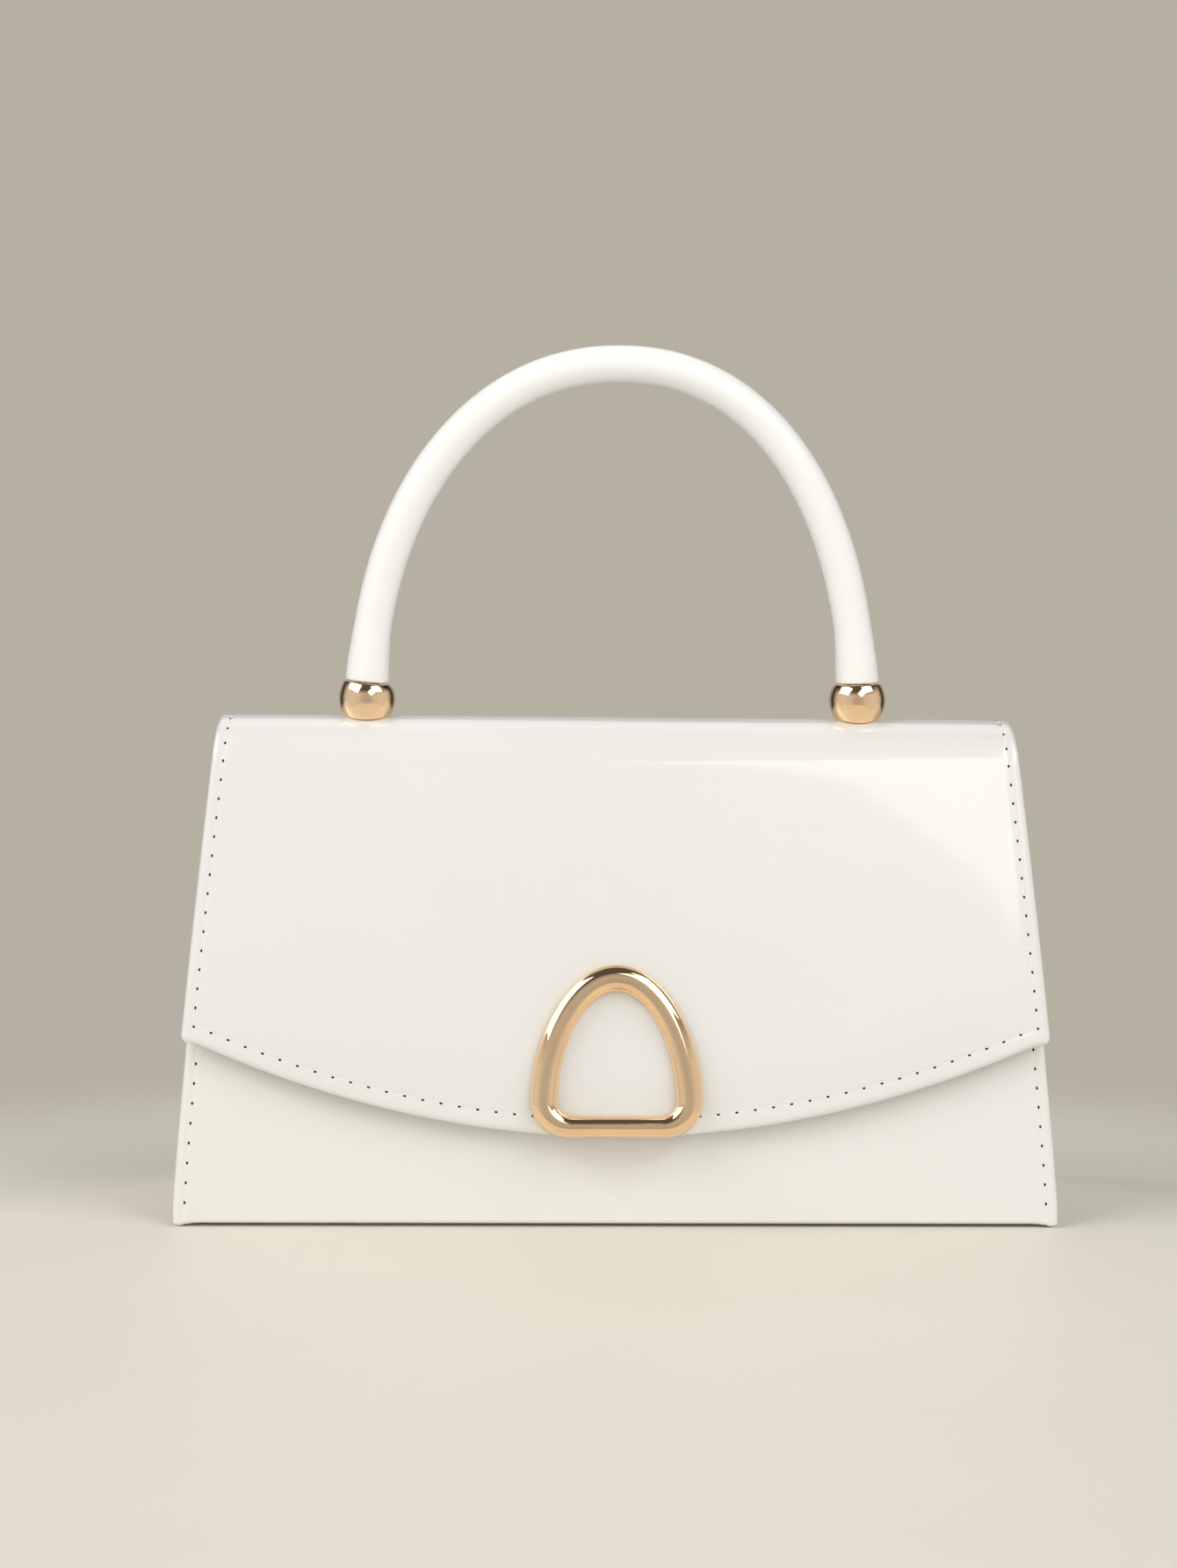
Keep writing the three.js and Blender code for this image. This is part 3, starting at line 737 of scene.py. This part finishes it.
# Side panel of the bag
def gusset_sheet(name, side, leather, lining):
    rolled = roll_offsets(GUSSET_ROLL, GUSSET_ROLL_STEPS)
    offsets = np.concatenate([rolled, GUSSET_ROLL + np.array(PAST_GUSSET_ROLL)])
    heights = np.concatenate([
        GUSSET_BOTTOM + offsets,
        spaced(GUSSET_BOTTOM + offsets[-1], GUSSET_TOP - offsets[-1], GUSSET_SPACING),
        GUSSET_TOP - offsets[::-1],
    ])
    rows = []
    for z in heights:
        line = gusset_line(side, z)
        reach = run_along(line)
        middle = np.linspace(offsets[-1], reach[-1] - offsets[-1], GUSSET_COLUMNS + 2)[1:-1]
        at = np.concatenate([offsets, middle, reach[-1] - offsets[::-1]])
        rows.append([(np.interp(s, reach, line[:, 0]), np.interp(s, reach, line[:, 1]), z) for s in at])
    skin = np.array(rows)
    normal = unit(np.cross(np.gradient(skin, axis=1), np.gradient(skin, axis=0)))
    across = np.concatenate([offsets, np.full(GUSSET_COLUMNS, offsets[-1]), offsets[::-1]])
    upward = np.minimum(heights - GUSSET_BOTTOM, GUSSET_TOP - heights)
    near = np.minimum(*np.meshgrid(across, upward))
    lift = normal * (GUSSET_THICKNESS / 2 * rolled_share(near, GUSSET_ROLL))[..., None]
    return sheet_object(name, skin + lift, skin - lift, near, leather, lining)


HANDLE_START_Z = BALL_CENTRE_Z + BALL_ABOVE + HANDLE_GAP
HANDLE_START_ANGLE = math.asin(((HANDLE_START_Z - HANDLE_CENTRE_Z) / HANDLE_RISE) ** (HANDLE_POWER / 2))


# Centre line of the handle by angle, from its right end over the top to its left end.
# It stands a little left of the middle and leans a little to the right.
def handle_centre(angle):
    power = 2 / HANDLE_POWER
    cos = np.cos(angle)
    x = HANDLE_HALF_SPAN * np.sign(cos) * np.abs(cos) ** power
    z = HANDLE_CENTRE_Z + HANDLE_RISE * np.abs(np.sin(angle)) ** power
    climb = (z - HANDLE_START_Z) / (HANDLE_CENTRE_Z + HANDLE_RISE - HANDLE_START_Z)
    return x + HANDLE_SHIFT + HANDLE_SKEW * climb**2, z


def handle_end_x(side):
    return float(handle_centre(math.pi / 2 - side * (math.pi / 2 - HANDLE_START_ANGLE))[0])


# Faces between rings of points, closed round each ring
def ring_faces(rings, sides):
    index = np.arange(rings * sides).reshape(rings, sides)
    return quads(np.concatenate([index, index[:, :1]], axis=1))


# Faces between rings of points where the last ring meets the first again
def loop_faces(rings, sides):
    index = np.arange(rings * sides).reshape(rings, sides)
    index = np.concatenate([index, index[:1]])
    return quads(np.concatenate([index, index[:, :1]], axis=1))


# Tilt of the handle's cut end, rising outwards
def end_tilt(side):
    return RIGHT_END_TILT if side > 0 else LEFT_END_TILT


# Direction along the handle, turned square to its cut ends as it comes close to them
def handle_ahead(angles, x, z):
    ahead = unit(np.stack([np.gradient(x, angles), np.gradient(z, angles)], axis=1))
    on_right = angles < math.pi / 2
    tilt = np.where(on_right, end_tilt(1), end_tilt(-1))
    square = np.stack([-np.sin(tilt), np.where(on_right, 1, -1) * np.cos(tilt)], axis=1)
    settle = smooth_step((z - HANDLE_START_Z) / HANDLE_FLARE_LENGTH)[:, None]
    return unit(square + (ahead - square) * settle)


# Radius of the handle at a height above its ends, wider there and rounded off at the cut
def handle_radius(above):
    flare = 1 - smooth_step(above / HANDLE_FLARE_LENGTH)
    radius = HANDLE_RADIUS + (HANDLE_END_RADIUS - HANDLE_RADIUS) * flare
    return radius - HANDLE_END_ROUND * (1 - rolled_share(above, HANDLE_END_ROUND))


# Rings of points along the handle's leather, close together at its ends
def handle_rings(turn):
    fine = np.linspace(0, HANDLE_END_SHARE, HANDLE_END_RINGS)
    middle = np.linspace(2 * HANDLE_END_SHARE, 1 - 2 * HANDLE_END_SHARE, HANDLE_RINGS)
    along = np.concatenate([fine, middle, 1 - fine[::-1]])
    angles = HANDLE_START_ANGLE + (math.pi - 2 * HANDLE_START_ANGLE) * along
    x, z = handle_centre(angles)
    ahead = handle_ahead(angles, x, z)
    radius = handle_radius(z - HANDLE_START_Z)
    out = radius[:, None] * np.cos(turn)
    return np.stack([
        x[:, None] + out * ahead[:, 1:],
        FOLD_Y + radius[:, None] * np.sin(turn),
        z[:, None] - out * ahead[:, :1],
    ], axis=-1)


# Round arched handle, a little wider at its ends and bored in each end; its cut end faces and bores carry the
# painted dark shade of the gap above the balls
def handle_tube(leather, end_shade):
    turn = np.linspace(0, 2 * math.pi, HANDLE_SIDES, endpoint=False)
    rings = [socket_ring(1, SOCKET_DEPTH, turn), socket_ring(1, 0, turn)]
    rings += list(handle_rings(turn))
    rings += [socket_ring(-1, 0, turn), socket_ring(-1, SOCKET_DEPTH, turn)]
    vertices = np.concatenate(rings)
    faces = ring_faces(len(rings), HANDLE_SIDES).tolist()
    faces.append(list(range(HANDLE_SIDES)))
    faces.append(list(range(len(vertices) - HANDLE_SIDES, len(vertices))))
    painted_faces = 2 * HANDLE_SIDES
    kinds = np.zeros(len(faces))
    kinds[:painted_faces] = END_SHADE_KIND
    kinds[-painted_faces - 2:] = END_SHADE_KIND
    return mesh_object("handle_leather", vertices, faces, [leather, end_shade], kinds)


# Ring of points round the bore for a post, at a height in the handle's end
def socket_ring(side, height, turn):
    out = SOCKET_RADIUS * np.cos(turn)
    y = FOLD_Y + SOCKET_RADIUS * np.sin(turn)
    z = HANDLE_START_Z + height + out * math.tan(end_tilt(side))
    return np.stack([handle_end_x(side) + side * out, y, z], axis=-1)


# Drop of the rounded top of the bag away from its ridge
def ridge_drop(y):
    return FOLD_RADIUS - np.sqrt(FOLD_RADIUS**2 - (y - FOLD_Y) ** 2)


# Radii and heights of a ball's rings, from the bore in its seat up and round to the bore in its dish
def ball_profile(below):
    lowest = -math.asin(below / BALL_RADIUS)
    highest = math.asin(BALL_ABOVE / BALL_RADIUS)
    angles = np.linspace(lowest, highest, BALL_RINGS)
    radii = BALL_RADIUS * np.cos(angles)
    heights = BALL_RADIUS * np.sin(angles)
    seat = -below - BALL_EDGE / 2
    radii = [SOCKET_RADIUS, radii[0] - BALL_EDGE, *radii, radii[-1] - BALL_EDGE, SOCKET_RADIUS]
    heights = [seat, seat, *heights, BALL_ABOVE + BALL_EDGE / 2, BALL_ABOVE - BALL_DISH]
    return np.array(radii), np.array(heights)


# Metal ball, dished above for the handle's end, seated below on the rounded top, bored for the post
def ball(name, side, metal):
    middle = handle_end_x(side)
    below = BALL_CENTRE_Z - BODY_HEIGHT - ridge_lift(middle)
    radii, heights = ball_profile(below)
    turn = np.linspace(0, 2 * math.pi, BALL_SIDES, endpoint=False)
    out = radii[:, None] * np.cos(turn)
    y = FOLD_Y + radii[:, None] * np.sin(turn)
    lowness = np.clip(-heights / below, 0, 1)[:, None] ** 4
    highness = np.clip(heights / BALL_ABOVE, 0, 1)[:, None] ** 3
    sunk = lowness * BALL_SINK * ridge_drop(y)
    z = BALL_CENTRE_Z + heights[:, None] - sunk + highness * out * math.tan(end_tilt(side))
    vertices = np.stack([middle + side * out, y, z], axis=-1).reshape(-1, 3)
    return mesh_object(name, vertices, loop_faces(len(radii), BALL_SIDES), [metal])


# Outline of the ornament, drawn in by one amount at the sides and another at the foot: a straight foot,
# round corners and an arch that narrows towards its crown
def loop_outline(side_inset, foot_inset):
    half_span = LOOP_HALF_WIDTH - side_inset
    corner = LOOP_CORNER - foot_inset
    rise = LOOP_HEIGHT - LOOP_CORNER - side_inset
    bend = np.linspace(-math.pi / 2, 0, LOOP_CORNER_POINTS)
    arch = np.linspace(0, math.pi, LOOP_ARCH_POINTS)[1:-1]
    foot = np.linspace(corner - half_span, half_span - corner, LOOP_FOOT_POINTS)[1:-1]
    right = np.stack([
        half_span - corner + corner * np.cos(bend),
        LOOP_CORNER + corner * np.sin(bend),
    ], axis=1)
    over = np.stack([
        half_span * np.cos(arch) * (1 - LOOP_TAPER * np.sin(arch)),
        LOOP_CORNER + rise * np.sin(arch),
    ], axis=1)
    left = right[::-1] * (-1, 1)
    under = np.stack([foot, np.full_like(foot, foot_inset)], axis=1)
    return np.concatenate([right, over, left, under])


# Closed metal loop with a pillowed front, seated on the flap behind
def ornament(metal):
    outside = loop_outline(0, 0)
    inside = loop_outline(LOOP_BAND, LOOP_FOOT)
    turn = np.linspace(0, math.pi, LOOP_SECTION_POINTS)
    inward = 0.5 - 0.5 * np.sign(np.cos(turn)) * np.abs(np.cos(turn)) ** (2 / LOOP_PILLOW)
    raised = np.abs(np.sin(turn)) ** (2 / LOOP_PILLOW)
    flat = outside[:, None] + (inside - outside)[:, None] * inward[None, :, None]
    x = flat[..., 0]
    length = SHELL_LENGTH - flat[..., 1]
    seat = pad_height(x, length) - LOOP_SEAT
    top = PAD_HEIGHT + SEAT_GAP + LOOP_THICKNESS
    vertices = on_shell(x, length, seat + (top - seat) * raised).reshape(-1, 3)
    return mesh_object("clasp_ornament_metal", vertices, loop_faces(*x.shape), [metal])


# Needle holes and sunken thread along a seam. The path gives points at a lift over the leather for an
# array of positions, and the holes lie at the given positions.
def stitch_row(path, holes):
    vertices = []
    faces = []
    kinds = []
    for here in holes:
        add_hole(vertices, faces, kinds, *seam_frame(path, here))
    for start, end in zip(holes, holes[1:]):
        add_thread(vertices, faces, kinds, path, np.linspace(start, end, THREAD_RINGS))
    return vertices, faces, kinds


# Point of a seam, and the directions along it, out of the leather and across it
def seam_frame(path, here):
    centre = path(here, 0.0)
    along = unit(path(here + SEAM_STEP, 0.0) - path(here - SEAM_STEP, 0.0))
    up = unit(path(here, SEAM_STEP) - centre)
    return centre, along, up, np.cross(up, along)


# Flattened bead in the mouth of a needle hole, painted dark as the shade inside the hole
def add_hole(vertices, faces, kinds, centre, along, up, across):
    first = len(vertices)
    for level in HOLE_LEVELS:
        for turn in np.linspace(0, 2 * math.pi, HOLE_SIDES, endpoint=False):
            reach = math.cos(level)
            point = centre + along * HOLE_LENGTH * reach * math.cos(turn)
            point = point + across * HOLE_WIDTH * reach * math.sin(turn)
            vertices.append(point + up * HOLE_HEIGHT * math.sin(level))
    close_rings(faces, kinds, first, len(HOLE_LEVELS), HOLE_SIDES, HOLE_SHADE_KIND)


# One stitch of thread, its two ends dipping into the holes
def add_thread(vertices, faces, kinds, path, stations):
    first = len(vertices)
    middle = (stations[0] + stations[-1]) / 2
    for here in stations:
        centre, _, up, across = seam_frame(path, here)
        dip = abs(here - middle) / (stations[-1] - middle)
        sunk = centre - up * THREAD_RADIUS * (THREAD_SUNK + THREAD_DIP * dip**4)
        for turn in np.linspace(0, 2 * math.pi, THREAD_SIDES, endpoint=False):
            vertices.append(sunk + THREAD_RADIUS * (across * math.cos(turn) + up * math.sin(turn)))
    close_rings(faces, kinds, first, len(stations), THREAD_SIDES, THREAD_KIND)


# Adds the faces between rings of points and a face over each end
def close_rings(faces, kinds, first, rings, sides, kind):
    faces.extend((ring_faces(rings, sides) + first).tolist())
    faces.append(list(range(first, first + sides)))
    faces.append(list(range(first + (rings - 1) * sides, first + rings * sides)))
    kinds.extend([kind] * (len(faces) - len(kinds)))


# One piece from several rows of stitches
def stitching(name, rows, thread_material, hole_shade_material):
    vertices = []
    faces = []
    kinds = []
    for row_vertices, row_faces, row_kinds in rows:
        faces.extend([[v + len(vertices) for v in face] for face in row_faces])
        vertices.extend(row_vertices)
        kinds.extend(row_kinds)
    return mesh_object(name, vertices, faces, [thread_material, hole_shade_material], kinds)


# Point on the bottom of a shell seam
def on_shell_seam(x, length, lift):
    return on_shell(x, length, shell_relief(x, length) - GROOVE_DEPTH + lift)


# Where the side seams of the flap meet the seam along its lower edge: distance from the middle and length
def seam_corner():
    x = BASE_HALF_WIDTH
    for _ in range(CORNER_ROUNDS):
        length = SHELL_LENGTH - LOWER_INSET - edge_rise(x)
        x = float(shell_half_width(length)) - SIDE_INSET
    return x, length


# Seams along both sides of the shell, from the flap's corners over the top and down the back
def shell_side_rows():
    rows = []
    for side in (-1, 1):
        def path(length, lift, side=side):
            x = side * (shell_half_width(length) - SIDE_INSET)
            return on_shell_seam(x, length, lift)

        end = seam_corner()[1]
        rows.append(stitch_row(path, np.arange(end, SHELL_START + SIDE_INSET, -SIDE_PITCH)[::-1]))
    return rows


# Seam along the flap's curved lower edge
def shell_lower_row():
    def path(x, lift):
        return on_shell_seam(x, SHELL_LENGTH - LOWER_INSET - edge_rise(x), lift)

    reach = seam_corner()[0]
    fine = np.linspace(-reach, reach, SEAM_POINTS)
    run = run_along(np.stack([fine, edge_rise(fine)], axis=1))
    count = round(run[-1] / LOWER_PITCH) + 1
    return stitch_row(path, np.interp(np.linspace(0, run[-1], count), run, fine))


# Seams along both sides of the front panel, the last stitch drawn round the fold
def front_side_rows():
    rows = []
    bottom = (FRONT_TOP - FRONT_STITCH_BOTTOM) / math.cos(FRONT_LEAN)
    for side, pitch in ((-1, LEFT_FRONT_PITCH), (1, RIGHT_FRONT_PITCH)):
        def path(length, lift, side=side):
            x = side * (front_half_width(length) - SIDE_INSET)
            return on_front(x, length, front_relief(x, length) - GROOVE_DEPTH + lift)

        holes = np.arange(bottom, SIDE_INSET, -pitch)[::-1]
        rows.append(stitch_row(path, np.append(holes, PANEL_LENGTH + TURN_LENGTH)))
    return rows


# Pale floor that fades out away from the bag
def floor_material():
    material, tree, shader = new_material("floor_cream")
    tree.links.new(tone(tree, noise(tree, 9, 4), FLOOR_SHADE, FLOOR_CREAM), shader.inputs["Base Color"])
    shader.inputs["Roughness"].default_value = 0.5
    coordinates = tree.nodes.new("ShaderNodeTexCoord")
    length = tree.nodes.new("ShaderNodeVectorMath")
    length.operation = "LENGTH"
    fade = tree.nodes.new("ShaderNodeMapRange")
    fade.interpolation_type = "SMOOTHSTEP"
    fade.inputs["From Min"].default_value = FLOOR_CLEAR
    fade.inputs["From Max"].default_value = FLOOR_END
    fade.inputs["To Min"].default_value = 1.0
    fade.inputs["To Max"].default_value = 0.0
    tree.links.new(coordinates.outputs["Object"], length.inputs[0])
    tree.links.new(length.outputs["Value"], fade.inputs["Value"])
    tree.links.new(fade.outputs["Result"], shader.inputs["Alpha"])
    return material


def floor():
    corners = [(x * FLOOR_END, y * FLOOR_END, 0) for x, y in ((-1, -1), (1, -1), (1, 1), (-1, 1))]
    piece = mesh_object("floor", corners, [(0, 1, 2, 3)], [floor_material()])
    piece.location = FLOOR_PLACE


# Grey levels at places along a ramp
def grey_ramp(tree, levels):
    ramp = tree.nodes.new("ShaderNodeValToRGB")
    stops = ramp.color_ramp.elements
    stops.remove(stops[1])
    stops[0].position = levels[0][0]
    for place, _ in levels[1:]:
        stops.new(place)
    for stop, (_, grey) in zip(stops, levels):
        stop.color = (grey, grey, grey, 1)
    return ramp


# Brightness of the room by direction: bands from behind to in front, tiers from level to a dark ceiling
def room_brightness(tree):
    coordinates = tree.nodes.new("ShaderNodeTexCoord")
    axes = tree.nodes.new("ShaderNodeSeparateXYZ")
    forward = tree.nodes.new("ShaderNodeMapRange")
    forward.inputs["From Min"].default_value = 1.0
    forward.inputs["From Max"].default_value = -1.0
    bands = grey_ramp(tree, ROOM_BANDS)
    tiers = grey_ramp(tree, ROOM_TIERS)
    product = tree.nodes.new("ShaderNodeMath")
    product.operation = "MULTIPLY"
    tree.links.new(coordinates.outputs["Generated"], axes.inputs["Vector"])
    tree.links.new(axes.outputs["Y"], forward.inputs["Value"])
    tree.links.new(forward.outputs["Result"], bands.inputs["Fac"])
    tree.links.new(axes.outputs["Z"], tiers.inputs["Fac"])
    tree.links.new(bands.outputs["Color"], product.inputs[0])
    tree.links.new(tiers.outputs["Color"], product.inputs[1])
    return product.outputs["Value"]


# Plain room: a warm grey wall to the camera, and its own uneven light to everything else
def room():
    world = bpy.data.worlds.new("room")
    world.use_nodes = True
    tree = world.node_tree
    tree.nodes.clear()
    output = tree.nodes.new("ShaderNodeOutputWorld")
    wall = tree.nodes.new("ShaderNodeBackground")
    light = tree.nodes.new("ShaderNodeBackground")
    mix = tree.nodes.new("ShaderNodeMixShader")
    ray = tree.nodes.new("ShaderNodeLightPath")
    wall.inputs["Color"].default_value = (*WALL_GREY, 1)
    light.inputs["Color"].default_value = (*ROOM_LIGHT, 1)
    tree.links.new(room_brightness(tree), light.inputs["Strength"])
    tree.links.new(ray.outputs["Is Camera Ray"], mix.inputs["Fac"])
    tree.links.new(light.outputs["Background"], mix.inputs[1])
    tree.links.new(wall.outputs["Background"], mix.inputs[2])
    tree.links.new(mix.outputs["Shader"], output.inputs["Surface"])
    bpy.context.scene.world = world


# Soft box of light on a sphere about the bag, turned towards it
def soft_box(name, bearing, elevation, roll, distance, width, height, brightness, mirrored):
    light = bpy.data.lights.new(name, "AREA")
    light.shape = "RECTANGLE"
    light.size = width
    light.size_y = height
    light.energy = math.pi * width * height * brightness
    light.color = ROOM_LIGHT
    lamp = bpy.data.objects.new(name, light)
    lamp.visible_glossy = mirrored
    turn = Matrix.Rotation(math.radians(bearing), 4, "Z")
    tilt = Matrix.Rotation(math.radians(90 - elevation), 4, "X")
    away = Matrix.Translation((0, 0, distance)) @ Matrix.Rotation(math.radians(roll), 4, "Z")
    lamp.matrix_world = Matrix.Translation(LIT_POINT) @ turn @ tilt @ away
    bpy.context.scene.collection.objects.link(lamp)


def lights():
    for box in SOFT_BOXES:
        soft_box(*box)


def camera():
    lens = bpy.data.cameras.new("camera")
    lens.sensor_fit = "VERTICAL"
    lens.sensor_height = SENSOR_HEIGHT
    lens.lens = FOCAL_PIXELS * SENSOR_HEIGHT / PICTURE_HEIGHT
    lens.clip_start = 0.01
    eye = bpy.data.objects.new("camera", lens)
    turn = Matrix.Rotation(CAMERA_TURN, 4, "Z")
    aim = Matrix.Rotation(math.pi / 2 - CAMERA_PITCH, 4, "X") @ Matrix.Rotation(CAMERA_ROLL, 4, "Z")
    eye.matrix_world = turn @ Matrix.Translation(CAMERA_PLACE) @ aim
    bpy.context.scene.collection.objects.link(eye)
    bpy.context.scene.camera = eye


# Steel on the hidden fixings, which keep their plain solids
def dress_fixings(steel):
    for name in ("post_left", "post_right", "clasp_magnet"):
        materials = NODES[name].data.materials
        materials.clear()
        materials.append(steel)


def build_bag():
    leather = patent_leather("ivory_leather", IVORY_WARM, IVORY, 1)
    # Front panel in a paler, warmer copy of the leather: painted light for the floor's warm bounce and the
    # shade under the flap
    front_leather = patent_leather("front_leather", FRONT_LIT_IVORY_WARM, FRONT_LIT_IVORY, 1)
    # Handle in a paler copy of the leather: painted light for the light and reflections it catches
    handle_leather = patent_leather("handle_leather", HANDLE_LIT_IVORY_WARM, HANDLE_LIT_IVORY, HANDLE_GLOSS)
    lining = lining_cloth()
    gold = rose_gold()
    white = thread()
    # Painted shade for the needle holes and the handle's cut ends
    dark = painted_dark_shade()

    shell = seat_piece(shell_sheet(leather, lining), "shell_leather", "back_and_flap")
    front = seat_piece(front_sheet(front_leather, lining), "front_leather", "front_and_base")
    shell_seams = stitching("flap_stitching", shell_side_rows() + [shell_lower_row()], white, dark)
    front_seams = stitching("front_stitching", front_side_rows(), white, dark)
    seat_piece(shell_seams, "shell_leather")
    seat_piece(front_seams, "front_leather")

    seat_piece(handle_tube(handle_leather, dark), "handle_leather", "handle")
    seat_piece(ornament(gold), "ornament_metal", "clasp_ornament")
    for name, side in (("left", -1), ("right", 1)):
        gusset = gusset_sheet(f"gusset_{name}_leather", side, leather, lining)
        seat_piece(gusset, "gusset_leather", f"gusset_{name}")
        seat_piece(ball(f"ball_{name}_metal", side, gold), "ball_metal", f"ball_{name}")
    dress_fixings(turned_steel())


bpy.context.scene.view_settings.view_transform = "Standard"
build_bag()
floor()
room()
lights()
camera()
